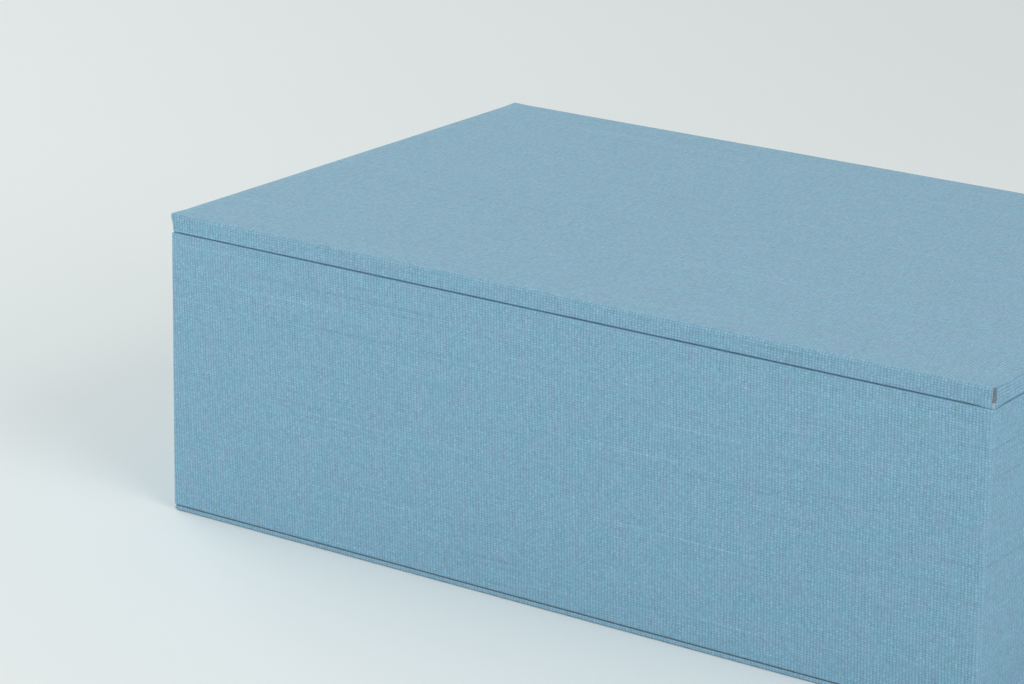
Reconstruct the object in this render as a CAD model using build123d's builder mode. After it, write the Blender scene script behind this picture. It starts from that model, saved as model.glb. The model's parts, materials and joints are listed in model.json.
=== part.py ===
from build123d import *

import os

# A cloth-covered rigid box whose drawer slides out of one short end.
#
# The case is a laminated top panel, three walls and a thin base panel, each of greyboard wrapped in
# bookcloth: every wrapped panel keeps its own rounded edges, so a fine seam runs round the box under
# the top panel and over the base panel. The drawer is a tray of greyboard in the same cloth, lined
# with paper, and a folded ribbon through a slit in its front pulls it out.
#
# Millimetres. X runs along the box from the mouth (-X) to the closed end (+X), the long front is -Y,
# Z is up, and the origin is the centre of the underside.

# ---- driving dimensions ------------------------------------------------------------------------

# case
length = 300.0  # mouth to closed end
width = 200.0  # front to back
wall_height = 95.23  # seam to seam
top_ply_thickness = 1.9  # each of the three boards glued together for the top panel
top_ply_count = 3
wall_board = 2.4
base_board_thickness = 1.15

# skins
cloth = 0.28  # bookcloth with its glue
paper = 0.2  # lining paper with its glue

# how far the cloth is turned in
panel_turn_in = 16.0  # under the top panel and on the base panel
mitre_gap = 0.4  # between the two mitred turn-ins at a panel's corner
wall_turn_in = 12.0  # down the inside of a wall from its long edges
mouth_turn_in = 15.0  # inside a wall from the mouth
drawer_turn_in = 14.0  # inside the drawer's rim and under its base
lining_inset = 3.0  # from a visible cloth edge to the edge of the lining paper

# how softly the edges turn
panel_radius = 1.0  # the top panel's upper edges and corners
seam_radius = 0.6  # cloth turning into a seam
wall_radius = 0.8  # the walls' upright corners
base_radius = 0.8  # the base panel's upright corners

# the split in the cloth at the top panel's front corner, where the bare boards show
split_height = 4.3  # from the top face down
split_width = 1.2

# drawer
drawer_front_thickness = 2.4
drawer_wall_thickness = 2.0
drawer_base_thickness = 2.0
side_clearance = 0.6  # drawer to each lined side of the bay
floor_clearance = 0.2  # drawer over the bay's floor
head_clearance = 1.0  # drawer under the bay's ceiling
end_clearance = 0.4  # drawer to the bay's closed end

# ribbon pull
ribbon = 0.35  # thickness of one layer
ribbon_width = 15.0
pull_length = 26.0  # how far the loop hangs
pull_drop = 39.6  # slit below the drawer's rim
ribbon_tail = 18.0  # glued up and down behind the front
slit_clearance = 0.1
loop_clearance = 0.3  # hanging loop to the drawer's front
fold_radius = 0.9  # where the loop turns back at its foot

# ---- levels and faces worked out from them ------------------------------------------------------

half_length = length / 2
half_width = width / 2

base_top = base_board_thickness + 2 * cloth  # lower seam, where the walls stand
top_low = base_top + wall_height  # upper seam
top_high = top_low + top_ply_count * top_ply_thickness + 2 * cloth

wall_outer_y = half_width - cloth  # boards' outer faces
wall_inner_y = wall_outer_y - wall_board
end_outer_x = half_length - cloth
end_inner_x = end_outer_x - wall_board
wall_low = base_top + cloth  # boards' lower and upper edges
wall_high = top_low - cloth

bay_y = wall_inner_y - cloth  # faces of the turned-in cloth
bay_x = end_inner_x - cloth
floor_top = base_top + paper
ceiling_low = top_low - paper

drawer_y = bay_y - paper - side_clearance  # drawer's outer faces
drawer_front_x = -half_length
drawer_rear_x = bay_x - paper - end_clearance
drawer_low = floor_top + floor_clearance
drawer_rim = ceiling_low - head_clearance

tray_low = drawer_low + paper + cloth  # drawer's boards
tray_high = drawer_rim - cloth
front_board_x = drawer_front_x + cloth
front_inner_x = front_board_x + drawer_front_thickness
rear_board_x = drawer_rear_x - cloth
rear_inner_x = rear_board_x - drawer_wall_thickness
side_board_y = drawer_y - cloth
side_inner_y = side_board_y - drawer_wall_thickness
tray_floor = tray_low + drawer_base_thickness

pull_z = drawer_rim - pull_drop
pull_x = drawer_front_x - loop_clearance - ribbon  # line that the loop swings about

# ---- shapes that several pieces share ------------------------------------------------------------


def rect(x_low, x_high, y_low, y_high, mode=Mode.ADD):
    """A rectangle between limits, in the sketch being drawn."""
    with Locations(((x_low + x_high) / 2, (y_low + y_high) / 2)):
        Rectangle(x_high - x_low, y_high - y_low, mode=mode)


def board(x_low, x_high, y_low, y_high, z_low, z_high):
    """A square-cut board or sheet between limits."""
    with BuildPart() as cut:
        with BuildSketch(Plane.XY.offset(z_low)):
            rect(x_low, x_high, y_low, y_high)
        extrude(amount=z_high - z_low)
    return cut


def ease_corner(piece, x_side, y_side, radius):
    """Rounds the one upright edge of a board that points to the given corner of the box."""
    uprights = piece.edges().filter_by(Axis.Z)
    corner = uprights.sort_by(lambda edge: x_side * edge.center().X + y_side * edge.center().Y)[-1]
    piece.part = piece.part.fillet(radius, [corner])


def panel_cloth(boards, z_low, z_high, covered, radius, upper_radius, lower_radius):
    """Cloth round a panel's boards: over the covered face and the rims, and turned in on the other.

    covered is +1 where the cloth covers the upper face and -1 where it covers the lower one. The
    turn-ins meet at each corner in a mitre.
    """
    turned_z = z_low if covered > 0 else z_high - cloth
    with BuildPart() as wrap:
        with BuildSketch(Plane.XY.offset(z_low)):
            Rectangle(length, width)
        extrude(amount=z_high - z_low)
        uprights = wrap.edges().filter_by(Axis.Z)
        if upper_radius == radius:
            fillet(uprights + wrap.faces().sort_by(Axis.Z)[-1].edges(), radius)
        else:
            fillet(uprights, radius)
            fillet(wrap.faces().sort_by(Axis.Z)[-1].edges(), upper_radius)
        fillet(wrap.faces().sort_by(Axis.Z)[0].edges(), lower_radius)
        for layer in boards:
            add(layer.part, mode=Mode.SUBTRACT)
        with BuildSketch(Plane.XY.offset(turned_z)):
            Rectangle(length - 2 * panel_turn_in, width - 2 * panel_turn_in)
            for x_side in (-1, 1):
                for y_side in (-1, 1):
                    corner = (
                        x_side * (half_length - panel_turn_in / 2 - cloth),
                        y_side * (half_width - panel_turn_in / 2 - cloth),
                    )
                    with Locations(corner):
                        slant = 45 * x_side * y_side
                        Rectangle(panel_turn_in * 2**0.5 - 4 * radius, mitre_gap, rotation=slant)
        extrude(amount=cloth, mode=Mode.SUBTRACT)
    return wrap


def panel_lining(x_low, paper_low, filled_low):
    """Paper over the bay's floor or ceiling, with the filling that levels it between the turn-ins."""
    with BuildPart() as sheet:
        with BuildSketch(Plane.XY.offset(paper_low)):
            rect(x_low, bay_x, -bay_y, bay_y)
        extrude(amount=paper)
        with BuildSketch(Plane.XY.offset(filled_low)):
            Rectangle(length - 2 * panel_turn_in, width - 2 * panel_turn_in)
        extrude(amount=cloth)
    return sheet


# ---- case: top panel -----------------------------------------------------------------------------

top_plies = []
for number in range(top_ply_count):
    with BuildPart() as ply:
        with BuildSketch(Plane.XY.offset(top_low + cloth + number * top_ply_thickness)):
            RectangleRounded(length - 2 * cloth, width - 2 * cloth, panel_radius - cloth)
        extrude(amount=top_ply_thickness)
        if number == top_ply_count - 1:
            fillet(ply.faces().sort_by(Axis.Z)[-1].edges(), (panel_radius - cloth) * 0.98)
    top_plies.append(ply)

top_cloth = panel_cloth(top_plies, top_low, top_high, 1, panel_radius, panel_radius, seam_radius)
with BuildPart() as split_cloth:
    add(top_cloth.part)
    with BuildSketch(Plane.XY.offset(top_high - split_height)):
        with Locations((half_length, -half_width)):
            Rectangle(split_width, 2.2 * panel_radius, rotation=45)
    extrude(amount=split_height, mode=Mode.SUBTRACT)
top_cloth = split_cloth

# ---- case: walls ---------------------------------------------------------------------------------

front_wall = board(-end_outer_x, end_outer_x, -wall_outer_y, -wall_inner_y, wall_low, wall_high)
back_wall = board(-end_outer_x, end_outer_x, wall_inner_y, wall_outer_y, wall_low, wall_high)
end_wall = board(end_inner_x, end_outer_x, -wall_inner_y, wall_inner_y, wall_low, wall_high)
ease_corner(front_wall, 1, -1, wall_radius - cloth)
ease_corner(back_wall, 1, 1, wall_radius - cloth)

# One strip of cloth runs along the front, round the closed end and back along the rear. It turns in
# over the walls' upper and lower edges, and round their ends at the mouth.
with BuildPart() as wall_cloth:
    with BuildSketch(Plane.XY.offset(base_top)):
        Rectangle(length, width)
        rect(-half_length, bay_x, -bay_y, bay_y, mode=Mode.SUBTRACT)
    extrude(amount=wall_height)
    uprights = wall_cloth.edges().filter_by(Axis.Z)
    fillet(uprights.filter_by_position(Axis.X, half_length - cloth, half_length + cloth), wall_radius)
    for end in (0, -1):
        fillet(wall_cloth.faces().sort_by(Axis.Z)[end].edges(), seam_radius)
    for wall in (front_wall, back_wall, end_wall):
        add(wall.part, mode=Mode.SUBTRACT)
    with BuildSketch(Plane.XY.offset(base_top + wall_turn_in)):
        rect(-half_length + mouth_turn_in, end_inner_x, -wall_inner_y, wall_inner_y)
    extrude(amount=wall_height - 2 * wall_turn_in, mode=Mode.SUBTRACT)

# ---- case: base panel ----------------------------------------------------------------------------

with BuildPart() as base_board:
    with BuildSketch(Plane.XY.offset(cloth)):
        RectangleRounded(length - 2 * cloth, width - 2 * cloth, base_radius - cloth)
    extrude(amount=base_board_thickness)

base_cloth = panel_cloth([base_board], 0, base_top, -1, base_radius, seam_radius, seam_radius)

# ---- case: linings of the drawer's bay -----------------------------------------------------------

bay_mouth_x = -half_length + lining_inset
ceiling_lining = panel_lining(bay_mouth_x, ceiling_low, top_low)
floor_lining = panel_lining(bay_mouth_x, base_top, base_top - cloth)

with BuildPart() as bay_wall_lining:
    with BuildSketch(Plane.XY.offset(floor_top)):
        rect(bay_mouth_x, bay_x, -bay_y, bay_y)
        rect(bay_mouth_x, bay_x - paper, paper - bay_y, bay_y - paper, mode=Mode.SUBTRACT)
    extrude(amount=ceiling_low - floor_top)
    with BuildSketch(Plane.XY.offset(base_top + wall_turn_in)):
        rect(-half_length + mouth_turn_in, end_inner_x, -wall_inner_y, wall_inner_y)
        rect(-half_length + mouth_turn_in, bay_x, -bay_y, bay_y, mode=Mode.SUBTRACT)
    extrude(amount=wall_height - 2 * wall_turn_in)

# ---- drawer: boards ------------------------------------------------------------------------------

drawer_front = board(front_board_x, front_inner_x, -side_board_y, side_board_y, tray_low, tray_high)
drawer_rear = board(rear_inner_x, rear_board_x, -side_board_y, side_board_y, tray_low, tray_high)
near_side = board(front_inner_x, rear_inner_x, -side_board_y, -side_inner_y, tray_low, tray_high)
far_side = board(front_inner_x, rear_inner_x, side_inner_y, side_board_y, tray_low, tray_high)
drawer_base = board(front_inner_x, rear_inner_x, -side_inner_y, side_inner_y, tray_low, tray_floor)
for y_side in (-1, 1):
    ease_corner(drawer_front, -1, y_side, wall_radius - cloth)
    ease_corner(drawer_rear, 1, y_side, wall_radius - cloth)


def cut_pull_slit():
    """Cuts the ribbon's slit through the drawer's front, in the part being built."""
    with BuildSketch(Plane.YZ.offset(drawer_front_x)) as opening:
        with Locations((0, pull_z)):
            Rectangle(ribbon_width + 2 * slit_clearance, 2 * ribbon + 2 * slit_clearance)
    extrude(opening.sketch, amount=cloth + drawer_front_thickness, mode=Mode.SUBTRACT)


with BuildPart() as slit_front:
    add(drawer_front.part)
    cut_pull_slit()
drawer_front = slit_front

# ---- drawer: cloth -------------------------------------------------------------------------------

# The cloth goes round all four walls, over the rim and down inside, and under the edge of the base.
with BuildPart() as drawer_cloth:
    with BuildSketch(Plane.XY.offset(tray_low - cloth)):
        rect(drawer_front_x, drawer_rear_x, -drawer_y, drawer_y)
    extrude(amount=drawer_rim - tray_low + cloth)
    fillet(drawer_cloth.edges().filter_by(Axis.Z), wall_radius)
    for end in (0, -1):
        fillet(drawer_cloth.faces().sort_by(Axis.Z)[end].edges(), seam_radius)
    for piece in (drawer_front, drawer_rear, near_side, far_side, drawer_base):
        add(piece.part, mode=Mode.SUBTRACT)
    with BuildSketch(Plane.XY.offset(tray_floor)):
        rect(front_inner_x, rear_inner_x, -side_inner_y, side_inner_y)
    extrude(amount=drawer_rim - drawer_turn_in - tray_floor, mode=Mode.SUBTRACT)
    with BuildSketch(Plane.XY.offset(drawer_rim - drawer_turn_in)):
        rect(front_inner_x + cloth, rear_inner_x - cloth, cloth - side_inner_y, side_inner_y - cloth)
    extrude(amount=drawer_turn_in, mode=Mode.SUBTRACT)
    with BuildSketch(Plane.XY.offset(tray_low - cloth)):
        rect(
            drawer_front_x + drawer_turn_in,
            drawer_rear_x - drawer_turn_in,
            drawer_turn_in - drawer_y,
            drawer_y - drawer_turn_in,
        )
    extrude(amount=cloth, mode=Mode.SUBTRACT)
    cut_pull_slit()

# ---- drawer: ribbon pull -------------------------------------------------------------------------

# Both layers of the ribbon pass through the slit, and part up and down behind the front.
with BuildPart() as pull_tail:
    with BuildSketch(Plane.XZ):
        rect(pull_x + ribbon + slit_clearance, front_inner_x, pull_z - ribbon, pull_z + ribbon)
        rect(front_inner_x, front_inner_x + ribbon, pull_z - ribbon_tail, pull_z + ribbon_tail)
    extrude(amount=ribbon_width / 2, both=True)

# Outside, the loop hangs down the front: two layers pressed together, with an eye at the fold.
fold_x = pull_x - (fold_radius - ribbon)
fold_z = pull_z - pull_length + fold_radius
with BuildPart() as pull_loop:
    with BuildSketch(Plane.XZ):
        with Locations((pull_x, pull_z)):
            Circle(ribbon)
        with Locations((fold_x, fold_z)):
            Circle(fold_radius)
        make_hull()
        with Locations((fold_x, fold_z)):
            Circle(fold_radius - ribbon, mode=Mode.SUBTRACT)
    extrude(amount=ribbon_width / 2, both=True)

# ---- drawer: linings -----------------------------------------------------------------------------

lining_x = (front_inner_x + cloth, rear_inner_x - cloth)
lining_y = side_inner_y - cloth
with BuildPart() as drawer_wall_lining:
    with BuildSketch(Plane.XY.offset(tray_floor + paper)):
        rect(lining_x[0], lining_x[1], -lining_y, lining_y)
        rect(
            lining_x[0] + paper,
            lining_x[1] - paper,
            paper - lining_y,
            lining_y - paper,
            mode=Mode.SUBTRACT,
        )
    extrude(amount=drawer_rim - lining_inset - tray_floor - paper)
    with BuildSketch(Plane.XY.offset(tray_floor + paper)):
        rect(front_inner_x, rear_inner_x, -side_inner_y, side_inner_y)
        rect(lining_x[0], lining_x[1], -lining_y, lining_y, mode=Mode.SUBTRACT)
    extrude(amount=drawer_rim - drawer_turn_in - tray_floor - paper)
    add(pull_tail.part, mode=Mode.SUBTRACT)

drawer_floor_lining = board(
    front_inner_x, rear_inner_x, -side_inner_y, side_inner_y, tray_floor, tray_floor + paper
)

with BuildPart() as underside_paper:
    with BuildSketch(Plane.XY.offset(drawer_low)):
        rect(
            drawer_front_x + lining_inset,
            drawer_rear_x - lining_inset,
            lining_inset - drawer_y,
            drawer_y - lining_inset,
        )
    extrude(amount=paper)
    with BuildSketch(Plane.XY.offset(drawer_low + paper)):
        rect(
            drawer_front_x + drawer_turn_in,
            drawer_rear_x - drawer_turn_in,
            drawer_turn_in - drawer_y,
            drawer_y - drawer_turn_in,
        )
    extrude(amount=cloth)

# ---- write every piece ---------------------------------------------------------------------------

pieces = {
    "top_cloth": top_cloth,
    "front_wall_board": front_wall,
    "back_wall_board": back_wall,
    "end_wall_board": end_wall,
    "wall_cloth": wall_cloth,
    "base_board": base_board,
    "base_cloth": base_cloth,
    "bay_ceiling_lining": ceiling_lining,
    "bay_wall_lining": bay_wall_lining,
    "bay_floor_lining": floor_lining,
    "drawer_front_board": drawer_front,
    "drawer_rear_board": drawer_rear,
    "drawer_near_side_board": near_side,
    "drawer_far_side_board": far_side,
    "drawer_base_board": drawer_base,
    "drawer_cloth": drawer_cloth,
    "drawer_wall_lining": drawer_wall_lining,
    "drawer_floor_lining": drawer_floor_lining,
    "drawer_underside_paper": underside_paper,
    "pull_ribbon_tail": pull_tail,
    "pull_ribbon_loop": pull_loop,
}
for number, ply in enumerate(top_plies):
    pieces[f"top_ply_{number + 1}"] = ply

os.makedirs("parts", exist_ok=True)
for name, piece in pieces.items():
    piece.part.label = name
    export_step(piece.part, f"parts/{name}.step")
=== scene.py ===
import json
import math

import bmesh
import bpy
from mathutils import Matrix, Vector


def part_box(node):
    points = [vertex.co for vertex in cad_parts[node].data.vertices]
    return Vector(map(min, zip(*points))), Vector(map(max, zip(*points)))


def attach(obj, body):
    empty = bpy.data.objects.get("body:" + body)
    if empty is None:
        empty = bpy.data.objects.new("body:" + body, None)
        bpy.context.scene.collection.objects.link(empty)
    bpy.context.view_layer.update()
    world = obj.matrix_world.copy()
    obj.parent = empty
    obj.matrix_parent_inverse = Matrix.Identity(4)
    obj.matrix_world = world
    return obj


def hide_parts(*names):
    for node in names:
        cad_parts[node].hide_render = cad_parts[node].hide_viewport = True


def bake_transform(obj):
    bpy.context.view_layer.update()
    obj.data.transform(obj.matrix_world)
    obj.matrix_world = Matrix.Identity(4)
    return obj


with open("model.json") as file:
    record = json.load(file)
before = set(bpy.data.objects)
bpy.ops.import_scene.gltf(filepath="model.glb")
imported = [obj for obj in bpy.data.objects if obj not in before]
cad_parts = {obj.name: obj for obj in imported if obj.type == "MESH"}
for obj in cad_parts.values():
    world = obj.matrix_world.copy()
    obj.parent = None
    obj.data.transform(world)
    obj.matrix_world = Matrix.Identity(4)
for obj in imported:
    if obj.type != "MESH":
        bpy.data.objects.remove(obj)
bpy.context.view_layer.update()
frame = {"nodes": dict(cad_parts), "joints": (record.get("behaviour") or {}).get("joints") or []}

# A box wrapped in blue bookcloth, with a drawer that slides out of its left end. The boards and the
# papers are the frame's own nodes in better materials. All the cloth, and the ribbon, is made here
# and laid out in its own flat measure, so that the threads follow each fold.

# ---- sizes, in metres ----------------------------------------------------------------------------

TOUCH = 1e-6  # things nearer than this are at the same place

CLOTH = 0.00028
PANEL_TURN_IN = 0.016
WALL_TURN_IN = 0.012
DRAWER_TURN_IN = 0.014
WALL = 0.00296  # wall board with its cloth on both faces
DRAWER_FRONT = 0.00296
DRAWER_SIDE = 0.00256

PANEL_EDGE = 0.0009  # radius of the top panel's upper edges and corners
SEAM_EDGE = 0.00042  # radius of cloth turning into a seam
WALL_EDGE = 0.0008  # radius of the walls' upright corners
BASE_EDGE = 0.0008  # radius of the base panel's upright corners
SEAM_SINK = 0.00016  # how far the top panel's lower edge stands off from its seam
WALL_SINK = 0.00026  # the same of the walls' upper edge
FOOT_SINK = 0.00006  # the same of the walls' lower edge
BASE_SINK = 0.00042  # the same of the base panel's upper edge
SEAM_DEPTH = 0.0025  # how far in from the edge the upper seam's wedge reaches
BASE_SEAM_DEPTH = 0.0017  # the same of the lower seam's

CORNER_TIP = 0.00045  # how far folded cloth pokes out at a top corner
CORNER_FOOT = 0.0002  # how far it tucks in below that corner
CORNER_SAG = 0.0004  # how far the split corner's cloth hangs down on to the walls
OUTWARDS, UPWARDS = 0.7, 0.3  # the shares of both along each side, and along Z
TIP_GRIP = 0.0009  # the cloth this near to a corner is moved by all of its pull
FOOT_GRIP = 0.0013
SAG_GRIP = 0.0012
CORNER_SPAN = 0.003  # how far round a corner its shape reaches
SPLIT_HEIGHT = 0.0043  # the split that bares the boards, from the top down
SPLIT_WIDTH = 0.0015
SPLIT_REACH = 0.0011  # how far from the corner's line the cloth is missing

CUT_SPACING = 0.0075  # between the cuts that let a long edge wander
RIM_CUT_SPACING = 0.0015
HAND_WANDER = 0.00012  # how far a wrapped face strays from true
WANDER_SIZE = 0.02

RIBBON = 0.00035  # thickness
RIBBON_FILL = 0.94  # how much of it the mesh has, so that its folds don't touch
RIBBON_CUT_SPACING = 0.0015
EYE = 0.0009  # outer radius of the fold at the foot of the loop
TAIL = 0.018
PULL_LENGTH = 0.026
TAIL_BEND = 0.0003  # radius of the turn from a tail into the slit
FALL_BEND = 0.0002  # radius of the inner layer's turn out of the slit
SLIT_START = 0.0012  # in from the board's inner face, where both layers lie straight in the slit
SLIT_END = 0.0004  # in from the pivot, where they still do

WARP_PITCH = 0.00107  # upright threads
WEFT_PITCH = 0.00078  # level threads
SLOW_BEND = 40  # threads bend together this many times per metre
QUICK_BEND = (420, 900)  # and each alone this often, along itself and from one to the next
BEND = 1.5  # by this many threads, before Wander
ROUNDNESS = 0.6  # of a thread's section
WARP_SWING, WARP_LEVEL = 0.34, 0.66  # how much a thread's top rises and falls, and round what
WEFT_SWING, WEFT_LEVEL = 0.34, 0.56
MEAN_HEIGHT = 0.65
GAP_PAINTED_SHADE, TOP_PAINTED_LIGHT = 0.62, 1.17  # painted shade between the threads and painted light on their tops, as factors on the cloth's colour
WEAVE_RELIEF = 0.00012
RIB_PITCH = 0.0009  # the ribbon's ribs
YARN_PITCH = 0.00035  # the ribbon's lengthwise yarns

# ---- looks ---------------------------------------------------------------------------------------

COTTON = (0.232, 0.443, 0.578)
# pale blue of the highlight painted up the box's closed-end corners
COTTON_HIGHLIGHT = (0.35, 0.56, 0.71)
COTTON_FRAYED = (0.5, 0.5, 0.47)
GREYBOARD = (0.235, 0.23, 0.215)
PAPER = (0.8, 0.775, 0.72)
NAVY = (0.075, 0.15, 0.235)
SLANT = math.tan(math.radians(2))  # how far the walls' upright threads lean

CAMERA_PLACE = (0.54686, -0.93356, 0.40083)
CAMERA_AZIMUTH = math.radians(33.95)
CAMERA_ELEVATION = math.radians(17.44)
CAMERA_ROLL = math.radians(1.18)
CAMERA_LENS = 120.1

BACKGROUND = (0.675, 0.75, 0.77)
FLOOR = (0.84, 0.89, 0.885)
FLOOR_BOUNCE = (0.72, 0.78, 0.8)  # what it throws back on the box
FLOOR_SIZE = 14
FLOOR_DROP = 0.0002  # the box stands this little above it, so that their faces don't coincide
ROOM_GLOW = (0.985, 0.996, 1.0)
ROOM_STRENGTH = 0.47
BOX_MIDDLE = (0, 0, 0.05)
WINDOWS = (  # name, place, aim, size, power, colour
    ("right window", (1.7, -0.5, 1.1), BOX_MIDDLE, 1.2, 15.2, (1.0, 0.995, 1.0)),
    ("front window", (-1.2, -1.25, 0.7), (0, -0.1, 0.05), 1.1, 12.5, (1.0, 0.98, 0.955)),
    ("left window", (-2.2, 0.6, 1.4), BOX_MIDDLE, 1.8, 19.5, (0.965, 0.99, 1.0)),
)

# ---- work at the bench: small steps that every piece uses ----------------------------------------


def deselect_all():
    for thing in bpy.context.selected_objects:
        thing.select_set(False)


def take_up(piece):
    """Makes the piece the only one selected and the one worked on."""
    deselect_all()
    piece.select_set(True)
    bpy.context.view_layer.objects.active = piece


def block(name, low, high):
    """A block between two corners, with its place in its mesh."""
    deselect_all()
    low, high = Vector(low), Vector(high)
    bpy.ops.mesh.primitive_cube_add(size=1, location=(low + high) / 2)
    piece = bpy.context.object
    piece.name = name
    piece.data.name = name
    piece.scale = high - low
    bpy.ops.object.transform_apply(location=True, rotation=True, scale=True)
    return piece


def choose(piece, kind, wanted):
    """In edit mode, selects only the faces, edges or verts for which wanted(item) is true."""
    bpy.ops.mesh.select_mode(type={"faces": "FACE", "edges": "EDGE", "verts": "VERT"}[kind])
    bpy.ops.mesh.select_all(action="DESELECT")
    mesh = bmesh.from_edit_mesh(piece.data)
    mesh.normal_update()
    for item in getattr(mesh, kind):
        if wanted(item):
            item.select_set(True)
    mesh.select_flush_mode()
    bmesh.update_edit_mesh(piece.data)


def push(shift):
    """Moves what is selected."""
    bpy.ops.transform.translate(value=shift)


def push_round(shift):
    """Moves what is selected, and draws the surface round it along."""
    bpy.ops.transform.translate(
        value=shift,
        use_proportional_edit=True,
        use_proportional_connected=True,
        proportional_edit_falloff="SMOOTH",
        proportional_size=CORNER_SPAN,
    )


def round_off(radius, segments):
    """Rounds the selected edges."""
    bpy.ops.mesh.bevel(offset=radius, segments=segments, profile=0.5, affect="EDGES")


def cut_across(axis, low, high, spacing=CUT_SPACING):
    """Cuts all of the mesh by planes square to one axis, evenly spaced between low and high."""
    steps = max(2, round((high - low) / spacing))
    normal = [0, 0, 0]
    normal[axis] = 1
    for step in range(1, steps):
        place = [0, 0, 0]
        place[axis] = low + (high - low) * step / steps
        bpy.ops.mesh.select_all(action="SELECT")
        bpy.ops.mesh.bisect(plane_co=place, plane_no=normal)


def cut_both_ways(low, high):
    """Cuts all of the mesh along the box and across it."""
    for axis in (0, 1):
        cut_across(axis, low[axis], high[axis])


def edge_middle(edge):
    return (edge.verts[0].co + edge.verts[1].co) / 2


def rise(edge):
    """How much higher one end of the edge is than the other."""
    return abs(edge.verts[0].co.z - edge.verts[1].co.z)


def is_fold(edge, least=60):
    """Whether two faces meet at the edge at more than the least angle."""
    return len(edge.link_faces) == 2 and edge.calc_face_angle(0) > math.radians(least)


def finish_modifiers(piece):
    take_up(piece)
    for modifier in list(piece.modifiers):
        bpy.ops.object.modifier_apply(modifier=modifier.name)


def give_thickness(piece, thickness, square=False, side=-1):
    """Gives a skin its thickness, inwards or, where side is 0, on both sides.

    Square keeps it even round sharp corners.
    """
    solid = piece.modifiers.new("thickness", "SOLIDIFY")
    solid.thickness = thickness
    solid.offset = side
    solid.use_even_offset = square
    finish_modifiers(piece)


def stray(piece, name):
    """Lets the surface wander a little, as cloth drawn over board by hand does."""
    grain = bpy.data.textures.new(name, "CLOUDS")
    grain.noise_scale = WANDER_SIZE
    grain.noise_depth = 1
    move = piece.modifiers.new("stray", "DISPLACE")
    move.texture = grain
    move.texture_coords = "LOCAL"
    move.strength = HAND_WANDER
    move.mid_level = 0.5
    finish_modifiers(piece)


def lay_out(piece, unfold):
    """Writes the flat measure of the cloth, in metres, as the piece's UV map."""
    mesh = piece.data
    flat = mesh.uv_layers.get("cloth") or mesh.uv_layers.new(name="cloth")
    for face in mesh.polygons:
        for corner in face.loop_indices:
            place = mesh.vertices[mesh.loops[corner].vertex_index].co
            flat.data[corner].uv = unfold(place, face.normal)


def saved(turn):
    """The length of cloth that an edge rounded by this radius saves over a square one."""
    return (2 - math.sqrt(2)) * turn


def smooth(piece, angle=40):
    take_up(piece)
    bpy.ops.object.shade_smooth_by_angle(angle=math.radians(angle))


def wear(piece, material):
    """Puts one material on the whole piece."""
    piece.data.materials.clear()
    piece.data.materials.append(material)


# ---- nodes ---------------------------------------------------------------------------------------


def node(tree, kind, inputs=None, **settings):
    """Adds a node; an input's value is a socket to link or a constant to set."""
    made = tree.nodes.new(kind)
    for name, value in settings.items():
        setattr(made, name, value)
    for key, value in (inputs or {}).items():
        if isinstance(value, bpy.types.NodeSocket):
            tree.links.new(value, made.inputs[key])
        else:
            made.inputs[key].default_value = value
    return made


def sum_up(tree, operation, *values, clamp=False):
    """A Math node's result."""
    inputs = {number: value for number, value in enumerate(values)}
    return node(tree, "ShaderNodeMath", inputs, operation=operation, use_clamp=clamp).outputs[0]


def vector_of(tree, x, y, z=0.0):
    return node(tree, "ShaderNodeCombineXYZ", {"X": x, "Y": y, "Z": z}).outputs[0]


def noise_at(tree, vector, scale, detail=2.0, roughness=0.5):
    inputs = {"Vector": vector, "Scale": scale, "Detail": detail, "Roughness": roughness}
    return node(tree, "ShaderNodeTexNoise", inputs).outputs["Fac"]


def spread(tree, value, low_in, high_in, low_out, high_out):
    inputs = {
        "Value": value,
        "From Min": low_in,
        "From Max": high_in,
        "To Min": low_out,
        "To Max": high_out,
    }
    return node(tree, "ShaderNodeMapRange", inputs).outputs["Result"]


def mix_colour(tree, factor, first, second):
    inputs = {"Factor": factor, 6: first, 7: second}  # 6 and 7 mix colours
    return node(tree, "ShaderNodeMix", inputs, data_type="RGBA").outputs[2]


def times_colour(tree, first, second):
    inputs = {0: first, 1: second}
    return node(tree, "ShaderNodeVectorMath", inputs, operation="MULTIPLY").outputs[0]


def times_level(tree, colour, level):
    """The colour made darker or lighter by one level."""
    return times_colour(tree, colour, vector_of(tree, level, level, level))


def shades(colour, darker, lighter):
    """The colour times each of two factors, as node values."""
    return ([min(1, channel * factor) for channel in colour] + [1] for factor in (darker, lighter))


def own_place(tree):
    """The place on the piece's own coordinates, whole and in its three parts."""
    place = node(tree, "ShaderNodeTexCoord").outputs["Object"]
    return place, node(tree, "ShaderNodeSeparateXYZ", {"Vector": place}).outputs


def flat_place(tree):
    """The place on the cloth's flat measure."""
    return node(tree, "ShaderNodeUVMap", uv_map="cloth").outputs[0]


def new_material(name, roughness):
    """A material with its tree and its shader."""
    material = bpy.data.materials.new(name)
    material.use_nodes = True
    tree = material.node_tree
    shader = tree.nodes["Principled BSDF"]
    shader.inputs["Roughness"].default_value = roughness
    return material, tree, shader


def new_group(name, inputs, outputs):
    """An empty shader node group with its sockets, and its two ends."""
    group = bpy.data.node_groups.new(name, "ShaderNodeTree")
    for socket, kind, value in inputs:
        made = group.interface.new_socket(name=socket, in_out="INPUT", socket_type=kind)
        if value is not None:
            made.default_value = value
    for socket, kind in outputs:
        group.interface.new_socket(name=socket, in_out="OUTPUT", socket_type=kind)
    return group, group.nodes.new("NodeGroupInput"), group.nodes.new("NodeGroupOutput")


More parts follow.
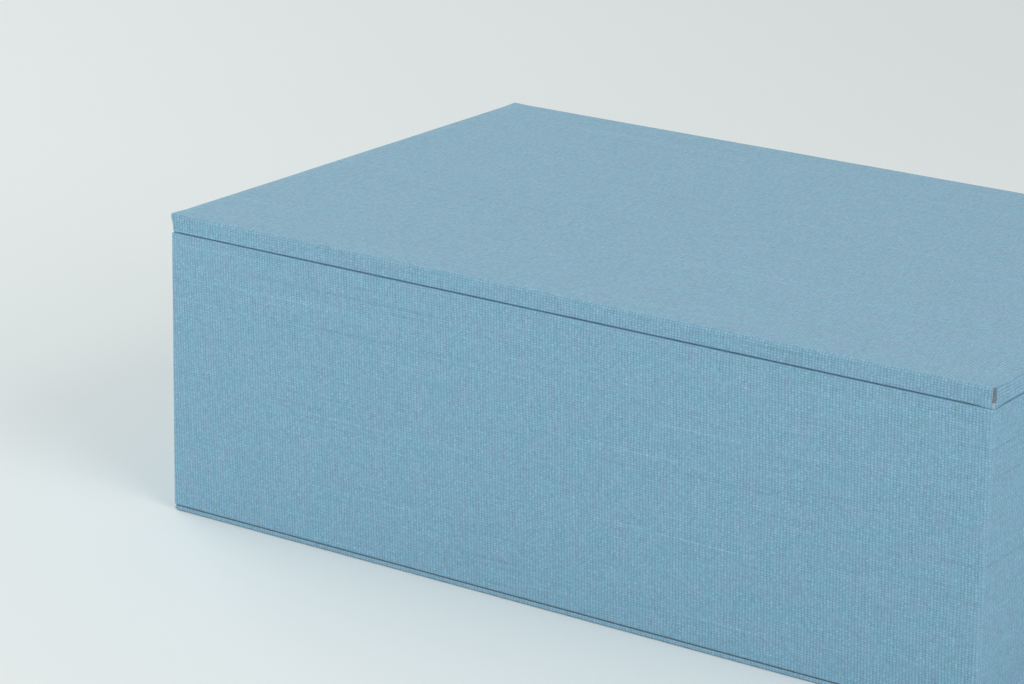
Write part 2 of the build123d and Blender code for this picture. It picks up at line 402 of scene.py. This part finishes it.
def plain_weave():
    """Two sets of threads that pass over and under each other, with uneven, slubby weft.

    Flat is the cloth's own measure in metres. Height is 0 between the threads and 1 on top of
    them; Thread is how light each thread and each crossing is; Slub is high along a thick, light
    stretch of weft and low along a thin, dark one.
    """
    number = "NodeSocketFloat"
    group, start, end = new_group(
        "plain weave",
        [
            ("Flat", "NodeSocketVector", None),
            ("Warp pitch", number, WARP_PITCH),
            ("Weft pitch", number, WEFT_PITCH),
            ("Slant", number, 0.0),
            ("Wander", number, 0.6),
        ],
        [("Height", number), ("Thread", number), ("Slub", number)],
    )

    def times(value, factor):
        return sum_up(group, "MULTIPLY", value, factor)

    flat = node(group, "ShaderNodeSeparateXYZ", {"Vector": start.outputs["Flat"]}).outputs
    u, v = flat["X"], flat["Y"]
    leaning = sum_up(group, "MULTIPLY_ADD", v, start.outputs["Slant"], u)

    # threads bend slowly together, and each also strays from its neighbours
    def strayed(line, pitch, along, across, seed):
        often, crossing = QUICK_BEND
        slow = vector_of(group, times(along, SLOW_BEND), times(across, SLOW_BEND), seed)
        quick = vector_of(group, times(along, often), times(across, crossing), seed + 5)
        together = sum_up(group, "MULTIPLY_ADD", noise_at(group, slow, 1.0), BEND, -BEND)
        bend = sum_up(group, "MULTIPLY_ADD", noise_at(group, quick, 1.0), BEND, together)
        place = sum_up(group, "DIVIDE", line, pitch)
        return sum_up(group, "MULTIPLY_ADD", bend, start.outputs["Wander"], place)

    warp = strayed(leaning, start.outputs["Warp pitch"], v, u, 0.0)
    weft = strayed(v, start.outputs["Weft pitch"], u, v, 17.0)
    warp_number = sum_up(group, "FLOOR", warp)
    weft_number = sum_up(group, "FLOOR", weft)
    warp_wave = sum_up(group, "SINE", times(warp, math.pi))
    weft_wave = sum_up(group, "SINE", times(weft, math.pi))

    # over or under: the wave across one set sets the height along the other
    def thread_top(own_wave, other_wave, turn, swing, level):
        body = sum_up(group, "POWER", sum_up(group, "ABSOLUTE", own_wave), ROUNDNESS)
        over = times(sum_up(group, "MULTIPLY", sum_up(group, "SIGN", own_wave), other_wave), turn)
        return sum_up(group, "MULTIPLY", body, sum_up(group, "MULTIPLY_ADD", over, swing, level))

    warp_top = thread_top(warp_wave, weft_wave, 1.0, WARP_SWING, WARP_LEVEL)
    weft_top = thread_top(weft_wave, warp_wave, -1.0, WEFT_SWING, WEFT_LEVEL)
    height = sum_up(group, "MAXIMUM", warp_top, weft_top)

    # each thread has its own shade, which changes slowly along it, and so has each crossing
    warp_place = vector_of(group, times(warp_number, 7.31), times(v, 90))
    weft_place = vector_of(group, times(u, 45), times(weft_number, 5.17), 9.1)
    warp_shade = noise_at(group, warp_place, 1.0, 1.0)
    weft_shade = noise_at(group, weft_place, 1.0, 1.0)
    on_weft = sum_up(group, "GREATER_THAN", weft_top, warp_top)
    inputs = {"Factor": on_weft, 2: warp_shade, 3: weft_shade}  # 2 and 3 mix numbers
    thread = node(group, "ShaderNodeMix", inputs).outputs[0]
    crossing = node(
        group,
        "ShaderNodeTexWhiteNoise",
        {"Vector": vector_of(group, warp_number, weft_number)},
        noise_dimensions="2D",
    ).outputs["Value"]
    uneven = sum_up(group, "MULTIPLY_ADD", crossing, 0.5, sum_up(group, "MULTIPLY", thread, 0.5))
    slub_place = vector_of(group, times(u, 8), times(weft_number, 3.3), 21.0)
    slub = noise_at(group, slub_place, 1.0, 2.0)
    for name, value in (("Height", height), ("Thread", uneven), ("Slub", slub)):
        group.links.new(value, end.inputs[name])
    return group


WEAVE = plain_weave()


def cloth_shade(tree, flat, slant, colour):
    """The bookcloth's colour and relief: its threads, with painted shade between them and painted
    light on their tops, their slubs, and a faint drift of hue.
    """
    inputs = {"Flat": flat, "Slant": slant}
    weave = node(tree, "ShaderNodeGroup", inputs, node_tree=WEAVE).outputs
    height = weave["Height"]

    # the painted shade and light of the threads are stronger in some patches than in others
    contrast = spread(tree, noise_at(tree, flat, 210.0, 2.0), 0.32, 0.68, 0.6, 1.4)
    centred = sum_up(tree, "SUBTRACT", height, MEAN_HEIGHT)
    lit = sum_up(tree, "MULTIPLY_ADD", centred, contrast, MEAN_HEIGHT)
    # painted shade between the threads and painted light on their tops, mixed by their height
    dark, light = shades(colour, GAP_PAINTED_SHADE, TOP_PAINTED_LIGHT)
    body = mix_colour(tree, spread(tree, lit, 0.15, 0.95, 0, 1), dark, light)

    shade = spread(tree, weave["Thread"], 0.2, 0.8, 0.91, 1.09)
    thick = spread(tree, weave["Slub"], 0.62, 0.74, 1.0, 1.12)
    thin = spread(tree, weave["Slub"], 0.26, 0.38, 0.9, 1.0)
    level = sum_up(tree, "MULTIPLY", shade, sum_up(tree, "MULTIPLY", thick, thin))
    drift = spread(tree, noise_at(tree, flat, 130.0, 3.0), 0.35, 0.65, 0, 1)
    hue = mix_colour(tree, drift, (0.965, 1.012, 1.0, 1), (1.05, 0.98, 1.005, 1))
    final = times_colour(tree, times_level(tree, body, level), hue)
    inputs = {"Height": height, "Strength": 0.5, "Distance": WEAVE_RELIEF}
    return final, node(tree, "ShaderNodeBump", inputs).outputs[0]


def bookcloth(name, colour, slant, split=None, corner_highlight=None):
    """Blue bookcloth.

    Where split gives a corner and a height, the cut edges there are frayed pale. Where the last
    argument gives an end and a side, the upright corners between them get a painted highlight.
    """
    material, tree, shader = new_material(name, 0.78)
    final, relief = cloth_shade(tree, flat_place(tree), slant, colour)
    if split:
        final = fray(tree, final, *split)
    if corner_highlight:
        final = paint_corner_highlight(tree, final, *corner_highlight)
    tree.links.new(final, shader.inputs["Base Color"])
    shader.inputs["Specular IOR Level"].default_value = 0.35
    shader.inputs["Sheen Weight"].default_value = 0.12
    shader.inputs["Sheen Roughness"].default_value = 0.5
    tree.links.new(relief, shader.inputs["Normal"])
    return material


def fray(tree, colour, corner, foot):
    """Pale thread ends along a narrow line up a corner of the box."""
    place, part = own_place(tree)
    across_x = sum_up(tree, "SUBTRACT", part["X"], corner[0])
    across_y = sum_up(tree, "SUBTRACT", part["Y"], corner[1])
    off_line = sum_up(tree, "ABSOLUTE", sum_up(tree, "ADD", across_x, across_y))
    rough = sum_up(tree, "MULTIPLY_ADD", noise_at(tree, place, 2600.0, 2.0), 0.0005, off_line)
    near = spread(tree, rough, 0.0004, 0.00055, 1, 0)
    far_x = sum_up(tree, "ABSOLUTE", across_x)
    far_y = sum_up(tree, "ABSOLUTE", across_y)
    at_corner = sum_up(tree, "LESS_THAN", sum_up(tree, "MAXIMUM", far_x, far_y), CORNER_SPAN)
    below = sum_up(tree, "LESS_THAN", part["Z"], foot)
    mask = sum_up(tree, "MULTIPLY", near, sum_up(tree, "MULTIPLY", at_corner, below))
    return mix_colour(tree, mask, colour, (*COTTON_FRAYED, 1))


def paint_corner_highlight(tree, colour, end, side):
    """A pale highlight painted up the upright corners where the end meets each side."""
    place, part = own_place(tree)
    from_end = sum_up(tree, "ABSOLUTE", sum_up(tree, "SUBTRACT", part["X"], end))
    across = sum_up(tree, "ABSOLUTE", part["Y"])
    from_side = sum_up(tree, "ABSOLUTE", sum_up(tree, "SUBTRACT", across, side))
    off_corner = sum_up(tree, "MAXIMUM", from_end, from_side)
    uneven = sum_up(tree, "MULTIPLY_ADD", noise_at(tree, place, 700.0, 2.0), 0.0006, off_corner)
    mask = spread(tree, uneven, 0.0005, 0.0022, 0.22, 0)
    return mix_colour(tree, mask, colour, (*COTTON_HIGHLIGHT, 1))


def pulp(name, colour, fleck, grain, rough):
    """Board or paper: mottled pulp with fine fibres, on the piece's own coordinates."""
    material, tree, shader = new_material(name, rough)
    place = own_place(tree)[0]
    cloud = noise_at(tree, place, grain, 6.0, 0.65)
    fibre = noise_at(tree, place, grain * 9, 3.0, 0.7)
    dark, light = shades(colour, 1 - fleck, 1 + fleck)
    body = mix_colour(tree, spread(tree, cloud, 0.3, 0.7, 0, 1), dark, light)
    flecked = spread(tree, fibre, 0.62, 0.72, 1.0, 1 - 1.5 * fleck)
    tree.links.new(times_level(tree, body, flecked), shader.inputs["Base Color"])
    shader.inputs["Specular IOR Level"].default_value = 0.3
    relief = node(tree, "ShaderNodeBump", {"Height": fibre, "Strength": 0.35, "Distance": 0.0001})
    tree.links.new(relief.outputs[0], shader.inputs["Normal"])
    return material


def grosgrain(name, colour):
    """Ribbon with ribs across its width and finer yarns along it, with painted shade in the ribs'
    troughs and painted light on their crests.
    """
    material, tree, shader = new_material(name, 0.5)
    flat = flat_place(tree)
    part = node(tree, "ShaderNodeSeparateXYZ", {"Vector": flat}).outputs

    def wave(value, pitch):
        return sum_up(tree, "SINE", sum_up(tree, "MULTIPLY", value, 2 * math.pi / pitch))

    ribs = spread(tree, wave(part["Y"], RIB_PITCH), -1, 1, 0, 1)
    height = sum_up(tree, "MULTIPLY_ADD", wave(part["X"], YARN_PITCH), 0.12, ribs)
    # painted shade in the troughs of the ribs, painted light on their crests
    dark, light = shades(colour, 0.5, 1.25)
    level = spread(tree, noise_at(tree, flat, 900.0, 2.0), 0.3, 0.7, 0.85, 1.15)
    final = times_level(tree, mix_colour(tree, ribs, dark, light), level)
    tree.links.new(final, shader.inputs["Base Color"])
    shader.inputs["Sheen Weight"].default_value = 0.2
    relief = node(tree, "ShaderNodeBump", {"Height": height, "Strength": 0.8, "Distance": 0.00025})
    tree.links.new(relief.outputs[0], shader.inputs["Normal"])
    return material


top_low, top_high = map(Vector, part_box("top_cloth"))
split_corner = (top_high.x, top_low.y)
split_foot = top_high.z - SPLIT_HEIGHT
top_bookcloth = bookcloth("bookcloth on the top panel", COTTON, 0.0, (split_corner, split_foot))
panel_bookcloth = bookcloth("bookcloth on the base panel", COTTON, 0.0)
# the walls' upright corners at the closed end get a pale painted highlight
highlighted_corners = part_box("wall_cloth")[1][:2]
wall_bookcloth = bookcloth("bookcloth on the walls", COTTON, SLANT, corner_highlight=highlighted_corners)
raw_greyboard = pulp("raw greyboard", GREYBOARD, fleck=0.12, grain=900.0, rough=0.9)
lining_paper = pulp("off-white lining paper", PAPER, fleck=0.025, grain=500.0, rough=0.85)
pull_grosgrain = grosgrain("dark blue grosgrain", NAVY)

# ---- camera, light and floor ---------------------------------------------------------------------


def set_camera():
    lens = bpy.data.cameras.new("camera")
    lens.lens = CAMERA_LENS
    lens.sensor_width = 36
    lens.clip_start = 0.01
    lens.clip_end = 50
    camera = bpy.data.objects.new("camera", lens)
    bpy.context.scene.collection.objects.link(camera)
    turn = Matrix.Rotation(CAMERA_AZIMUTH, 4, "Z")
    tip = Matrix.Rotation(math.pi / 2 - CAMERA_ELEVATION, 4, "X")
    roll = Matrix.Rotation(CAMERA_ROLL, 4, "Z")
    camera.matrix_world = Matrix.Translation(CAMERA_PLACE) @ turn @ tip @ roll
    bpy.context.scene.camera = camera


def softbox(name, place, aim, size, power, colour):
    lamp = bpy.data.lights.new(name, "AREA")
    lamp.shape = "SQUARE"
    lamp.size = size
    lamp.energy = power
    lamp.color = colour
    holder = bpy.data.objects.new(name, lamp)
    holder.location = place
    holder.rotation_euler = (Vector(aim) - Vector(place)).to_track_quat("-Z", "Y").to_euler()
    bpy.context.scene.collection.objects.link(holder)


def light_studio():
    """A pale room with soft windows; its glow lights the box and its background is what is seen."""
    room = bpy.data.worlds.new("pale room")
    bpy.context.scene.world = room
    room.use_nodes = True
    tree = room.node_tree
    tree.nodes.clear()
    glow = node(tree, "ShaderNodeBackground", {"Color": (*ROOM_GLOW, 1), "Strength": ROOM_STRENGTH})
    seen = node(tree, "ShaderNodeBackground", {"Color": (*BACKGROUND, 1), "Strength": 1.0})
    rays = node(tree, "ShaderNodeLightPath").outputs
    mirror = sum_up(tree, "MAXIMUM", rays["Is Glossy Ray"], rays["Is Transmission Ray"])
    either = sum_up(tree, "MAXIMUM", rays["Is Camera Ray"], mirror)
    both = node(tree, "ShaderNodeMixShader", {0: either, 1: glow.outputs[0], 2: seen.outputs[0]})
    out = node(tree, "ShaderNodeOutputWorld")
    tree.links.new(both.outputs[0], out.inputs["Surface"])
    for window in WINDOWS:
        softbox(*window)


def lay_floor():
    """A pale floor, clear from below, so that the underside of the box can be seen."""
    deselect_all()
    bpy.ops.mesh.primitive_plane_add(size=FLOOR_SIZE, location=(0, 0, -FLOOR_DROP))
    floor = bpy.context.object
    floor.name = "floor"
    material, tree, shader = new_material("pale floor", 0.9)
    cloud = noise_at(tree, own_place(tree)[0], 1.5, 2.0)
    tinted = times_level(tree, FLOOR, spread(tree, cloud, 0.3, 0.7, 0.99, 1.01))
    rays = node(tree, "ShaderNodeLightPath").outputs
    body = mix_colour(tree, rays["Is Camera Ray"], (*FLOOR_BOUNCE, 1), tinted)
    tree.links.new(body, shader.inputs["Base Color"])
    shader.inputs["Specular IOR Level"].default_value = 0.1

    # clear to a ray from below, and to one that has come up through it
    below = node(tree, "ShaderNodeNewGeometry").outputs["Backfacing"]
    passed = sum_up(tree, "GREATER_THAN", rays["Transparent Depth"], 0.5)
    clear = node(tree, "ShaderNodeBsdfTransparent").outputs[0]
    either = sum_up(tree, "MAXIMUM", below, passed)
    sides = node(tree, "ShaderNodeMixShader", {0: either, 1: shader.outputs[0], 2: clear})
    tree.links.new(sides.outputs[0], tree.nodes["Material Output"].inputs["Surface"])
    wear(floor, material)


# ---- cloth on a flat panel -----------------------------------------------------------------------


def unfold_panel(top, side, turn):
    """Flat measure of cloth that covers a panel's face and falls down its four rims."""
    across, along = side
    slack = saved(turn)

    def unfold(place, normal):
        u, v = place.x, place.y
        drop = abs(top - place.z) - slack
        if abs(normal.x) > max(abs(normal.y), abs(normal.z)):
            u = math.copysign(across + drop, place.x)
        elif abs(normal.y) > abs(normal.z):
            v = math.copysign(along + drop, place.y)
        return u, v

    return unfold


def ease_rim(panel, z, limits, shift, depth):
    """Lets the outer edge of a turned-in face fall away from the seam that it makes."""
    choose(panel, "faces", lambda face: abs(face.calc_center_median().z - z) < TOUCH)
    bpy.ops.mesh.inset(thickness=depth, use_boundary=False)

    def on_rim(vert):
        x, y, height = vert.co
        outer = abs(x) > limits.x - TOUCH or abs(y) > limits.y - TOUCH
        return outer and abs(height - z) < TOUCH

    choose(panel, "verts", on_rim)
    push((0, 0, shift))


def pull_corners(panel, low, high):
    """Folded cloth stands out in a small point at each upper corner, and tucks in under it.

    At the split corner it also hangs down on to the walls.
    """

    def grip(corner, reach):
        choose(panel, "verts", lambda vert: (vert.co - corner).length < reach)

    pulls = ((high.z, CORNER_TIP, TIP_GRIP), (low.z, -CORNER_FOOT, FOOT_GRIP))
    for x, x_side in ((low.x, -1), (high.x, 1)):
        for y, y_side in ((low.y, -1), (high.y, 1)):
            for z, pull, reach in pulls:
                grip(Vector((x, y, z)), reach)
                out = pull * OUTWARDS
                push_round((x_side * out, y_side * out, pull * UPWARDS))
    grip(Vector((high.x, low.y, low.z)), SAG_GRIP)
    push_round((0, 0, -CORNER_SAG))


def split_corner_open(panel, corner, z_low):
    """Cuts a narrow slit up one rounded corner, so that the boards behind it show."""
    across = Vector((1, 1, 0)).normalized()
    centre = Vector((*corner, z_low))

    def near(face):
        return (face.calc_center_median() - centre).xy.length < CORNER_SPAN

    for side in (-0.5, 0.5):
        choose(panel, "faces", near)
        bpy.ops.mesh.bisect(plane_co=centre + across * side * SPLIT_WIDTH, plane_no=across)
    choose(panel, "faces", near)
    bpy.ops.mesh.bisect(plane_co=centre, plane_no=(0, 0, 1))

    def in_slit(face):
        middle = face.calc_center_median() - centre
        narrow = abs(middle.dot(across)) < SPLIT_WIDTH / 2
        return narrow and middle.z > 0 and middle.xy.length < SPLIT_REACH

    choose(panel, "faces", in_slit)
    bpy.ops.mesh.delete(type="FACE")


def wrap_top():
    """Cloth over the top panel's face and rims, turned in under it, split at one corner."""
    low, high = map(Vector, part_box("top_cloth"))
    panel = block("top_cloth_wrap", low, high)
    bpy.ops.object.mode_set(mode="EDIT")
    choose(panel, "faces", lambda face: face.normal.z < -0.9)
    bpy.ops.mesh.inset(thickness=PANEL_TURN_IN)
    bpy.ops.mesh.delete(type="FACE")
    ease_rim(panel, low.z, high, SEAM_SINK, SEAM_DEPTH)
    cut_both_ways(low, high)
    cut_across(2, low.z, high.z, RIM_CUT_SPACING)
    above_seam = low.z + SEAM_EDGE
    at_seam = low.z + 2 * SEAM_SINK
    choose(panel, "edges", lambda edge: is_fold(edge) and edge_middle(edge).z > above_seam)
    round_off(PANEL_EDGE, segments=6)
    choose(panel, "edges", lambda edge: is_fold(edge) and edge_middle(edge).z < at_seam)
    round_off(SEAM_EDGE, segments=4)
    split_corner_open(panel, split_corner, split_foot)
    pull_corners(panel, low, high)
    bpy.ops.object.mode_set(mode="OBJECT")
    stray(panel, "top panel's wander")
    give_thickness(panel, CLOTH)
    lay_out(panel, unfold_panel(high.z, (high.x, high.y), PANEL_EDGE))
    smooth(panel)
    wear(panel, top_bookcloth)
    place_panel(panel, "top_cloth")


def wrap_base():
    """Cloth under the base panel and up its rims, turned in over its board."""
    low, high = map(Vector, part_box("base_cloth"))
    panel = block("base_cloth_wrap", low, high)
    bpy.ops.object.mode_set(mode="EDIT")
    choose(panel, "faces", lambda face: face.normal.z > 0.9)
    bpy.ops.mesh.inset(thickness=PANEL_TURN_IN)
    bpy.ops.mesh.delete(type="FACE")
    ease_rim(panel, high.z, high, -BASE_SINK, BASE_SEAM_DEPTH)
    cut_both_ways(low, high)
    choose(panel, "edges", lambda edge: is_fold(edge) and rise(edge) > SEAM_EDGE)
    round_off(BASE_EDGE, segments=4)
    for z in (low.z, high.z - BASE_SINK):

        def at_height(edge, z=z):
            return is_fold(edge) and abs(edge_middle(edge).z - z) < TOUCH

        choose(panel, "edges", at_height)
        round_off(SEAM_EDGE, segments=4)
    bpy.ops.object.mode_set(mode="OBJECT")
    give_thickness(panel, CLOTH)
    lay_out(panel, unfold_panel(low.z, (high.x, high.y), SEAM_EDGE))
    smooth(panel)
    wear(panel, panel_bookcloth)
    place_panel(panel, "base_cloth")


def place_panel(panel, node_name):
    """Hangs the panel's cloth on the case, and hides the frame's node that it stands for."""
    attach(panel, "case")
    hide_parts(node_name)


# ---- cloth on upright walls ----------------------------------------------------------------------


def unfold_strip(low, high, turn):
    """Flat measure of cloth that runs along the front, round an end and along the back."""
    slack = saved(turn)

    def unfold(place, normal):
        u, v = place.x, place.z
        if abs(normal.z) > max(abs(normal.x), abs(normal.y)):
            v = place.z + place.y
        elif abs(normal.x) > abs(normal.y):
            u = math.copysign(high.x - slack + place.y - low.y, place.x)
        elif place.y > 0:
            u = 2 * (high.x - slack) + high.y - low.y - place.x
        return u, v

    return unfold


def wrap_case_walls():
    """One strip of cloth round the case's three walls, turned in at both edges and at the mouth."""
    low, high = map(Vector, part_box("wall_cloth"))
    strip = block("wall_cloth_wrap", low, high)
    bpy.ops.object.mode_set(mode="EDIT")
    choose(strip, "faces", lambda face: abs(face.normal.z) > 0.9 or face.normal.x < -0.9)
    bpy.ops.mesh.delete(type="FACE")
    bpy.ops.object.mode_set(mode="OBJECT")
    give_thickness(strip, WALL, square=True)
    bpy.ops.object.mode_set(mode="EDIT")

    def faces_the_bay(face):
        middle = face.calc_center_median()
        inside = abs(middle.y) < high.y - WALL * 0.9 and middle.x < high.x - WALL * 0.9
        return inside and abs(face.normal.z) < 0.1 and middle.x > low.x + WALL

    def on_outer_rim(vert, side):
        x, y, z = vert.co
        outer = abs(y) > high.y - TOUCH or x > high.x - TOUCH
        return outer and abs(z - (high.z if side > 0 else low.z)) < TOUCH

    choose(strip, "faces", faces_the_bay)
    bpy.ops.mesh.inset(thickness=WALL_TURN_IN)
    bpy.ops.mesh.delete(type="FACE")
    for side, sink in ((-1, FOOT_SINK), (1, WALL_SINK)):
        choose(strip, "verts", lambda vert, side=side: on_outer_rim(vert, side))
        push((0, 0, -side * sink))
    cut_both_ways(low, high)

    def outer_corner(edge):
        at_end = edge_middle(edge).x > high.x - WALL / 2
        return is_fold(edge, 80) and rise(edge) > WALL and at_end

    choose(strip, "edges", outer_corner)
    round_off(WALL_EDGE, segments=5)

    def turned_edge(edge):
        middle = edge_middle(edge)
        between_seams = low.z + 2 * WALL_SINK < middle.z < high.z - 2 * WALL_SINK
        at_seam = rise(edge) < TOUCH and not between_seams
        return is_fold(edge) and (at_seam or middle.x < low.x + TOUCH)

    choose(strip, "edges", turned_edge)
    round_off(SEAM_EDGE, segments=4)
    bpy.ops.object.mode_set(mode="OBJECT")
    stray(strip, "walls' wander")
    give_thickness(strip, CLOTH)
    lay_out(strip, unfold_strip(low, high, WALL_EDGE))
    smooth(strip)
    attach(strip, "case")
    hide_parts("wall_cloth")
    wear(strip, wall_bookcloth)


def wrap_drawer():
    """Cloth round the drawer's four walls, over the rim and down inside, and in under the base."""
    low, high = map(Vector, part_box("drawer_cloth"))
    tray = block("drawer_cloth_wrap", low, high)
    bpy.ops.object.mode_set(mode="EDIT")
    choose(tray, "faces", lambda face: face.normal.z < -0.9)
    bpy.ops.mesh.inset(thickness=DRAWER_TURN_IN)
    bpy.ops.mesh.delete(type="FACE")
    choose(tray, "faces", lambda face: face.normal.z > 0.9)
    bpy.ops.mesh.inset(thickness=DRAWER_SIDE)
    bpy.ops.mesh.extrude_region_move(TRANSFORM_OT_translate={"value": (0, 0, -DRAWER_TURN_IN)})
    bpy.ops.mesh.delete(type="FACE")
    inside = low.x + DRAWER_SIDE
    choose(tray, "verts", lambda vert: abs(vert.co.x - inside) < TOUCH)
    push((DRAWER_FRONT - DRAWER_SIDE, 0, 0))
    cut_both_ways(low, high)
    choose(tray, "edges", lambda edge: is_fold(edge, 80) and rise(edge) > 2 * DRAWER_TURN_IN)
    round_off(WALL_EDGE, segments=5)

    def turned_edge(edge):
        between_rims = low.z + TOUCH <= edge_middle(edge).z <= high.z - TOUCH
        return is_fold(edge, 80) and rise(edge) < TOUCH and not between_rims

    choose(tray, "edges", turned_edge)
    round_off(SEAM_EDGE, segments=4)
    bpy.ops.object.mode_set(mode="OBJECT")
    give_thickness(tray, CLOTH)
    lay_out(tray, unfold_strip(low, high, WALL_EDGE))
    smooth(tray)
    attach(tray, "drawer")
    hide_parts("drawer_cloth")
    wear(tray, wall_bookcloth)


# ---- ribbon pull ---------------------------------------------------------------------------------


def arc(centre, radius, first, last, steps):
    """Points on an arc in the plane of X and Z, angles in degrees from +X towards +Z."""
    for step in range(steps + 1):
        angle = math.radians(first + (last - first) * step / steps)
        yield centre[0] + radius * math.cos(angle), centre[1] + radius * math.sin(angle)


def line(first, last, steps, start=0):
    """Points on a straight line, from the point numbered start to the last but one."""
    for step in range(start, steps):
        share = step / steps
        yield tuple(a + (b - a) * share for a, b in zip(first, last))


def ribbon_route(pivot, behind):
    """The ribbon's centre line: up the inside, out over the slit, round the eye, back and down."""
    x, z = pivot
    half = RIBBON / 2
    slot_x = behind + half
    eye = (x - (EYE - RIBBON), z - PULL_LENGTH + EYE)
    bend = 2 * TAIL_BEND  # the upright parts end this far from the slit's middle
    bend_x = slot_x - TAIL_BEND
    fall = (x + half + FALL_BEND, z - half - FALL_BEND)
    route = list(line((slot_x, z + TAIL), (slot_x, z + bend), 8))
    route.append((slot_x, z + bend))
    route += arc((bend_x, z + TAIL_BEND + half), TAIL_BEND, 0, -90, 3)
    route += [(behind - SLIT_START, z + half), (x + SLIT_END, z + half)]
    route += arc((x, z), half, 90, 180, 4)
    route += line((x - half, z), (eye[0] - EYE + half, eye[1]), 10, start=1)
    route += arc(eye, EYE - half, 180, 360, 10)
    route += line((x + half, eye[1]), (x + half, z - bend), 10, start=1)
    route += arc(fall, FALL_BEND, 180, 90, 3)
    route.append((behind - SLIT_START, z - half))
    route += arc((bend_x, z - TAIL_BEND - half), TAIL_BEND, 90, 0, 3)
    route += line((slot_x, z - bend), (slot_x, z - TAIL), 8, start=1)
    route.append((slot_x, z - TAIL))
    return route


def make_ribbon():
    """The pull: one length of ribbon, doubled, that hangs from its slit in the drawer's front."""
    loop_low, loop_high = map(Vector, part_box("pull_ribbon_loop"))
    hinge = next(joint for joint in frame["joints"] if joint["name"] == "pull_lift")
    pivot = (hinge["pos_m"][0], hinge["pos_m"][2])
    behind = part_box("drawer_front_board")[1][0]
    route = ribbon_route(pivot, behind)
    deselect_all()
    bpy.ops.mesh.primitive_plane_add(size=1, location=(0, 0, 0))
    ribbon = bpy.context.object
    ribbon.name = "pull_ribbon"
    bpy.ops.object.mode_set(mode="EDIT")
    choose(ribbon, "verts", lambda vert: vert.co.x > 0)
    bpy.ops.mesh.delete(type="VERT")
    bpy.ops.mesh.select_all(action="SELECT")
    mesh = bmesh.from_edit_mesh(ribbon.data)
    for vert in mesh.verts:
        vert.co = (route[0][0], math.copysign(loop_high.y, vert.co.y), route[0][1])
    bmesh.update_edit_mesh(ribbon.data)
    for before, after in zip(route, route[1:]):
        step = (after[0] - before[0], 0, after[1] - before[1])
        bpy.ops.mesh.extrude_region_move(TRANSFORM_OT_translate={"value": step})
    bpy.ops.mesh.select_all(action="SELECT")
    cut_across(1, loop_low.y, loop_high.y, RIBBON_CUT_SPACING)
    bpy.ops.object.mode_set(mode="OBJECT")
    give_thickness(ribbon, RIBBON * RIBBON_FILL, side=0)
    lengths = [0.0]
    for before, after in zip(route, route[1:]):
        lengths.append(lengths[-1] + math.dist(before, after))

    def unfold(place, _normal):
        here = (place.x, place.z)
        nearest = min(range(len(route)), key=lambda number: math.dist(route[number], here))
        return place.y, lengths[nearest]

    lay_out(ribbon, unfold)
    smooth(ribbon, 50)
    wear(ribbon, pull_grosgrain)
    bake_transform(ribbon)
    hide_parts("pull_ribbon_loop", "pull_ribbon_tail")


# ---- making the whole ----------------------------------------------------------------------------

set_camera()
light_studio()
lay_floor()

wrap_top()
wrap_base()
wrap_case_walls()
wrap_drawer()
make_ribbon()

for name in frame["nodes"]:
    piece = bpy.data.objects.get(name)
    if piece is None or "cloth" in name or "ribbon" in name:
        continue
    wear(piece, lining_paper if "lining" in name or "paper" in name else raw_greyboard)

bpy.context.scene.view_settings.view_transform = "Standard"
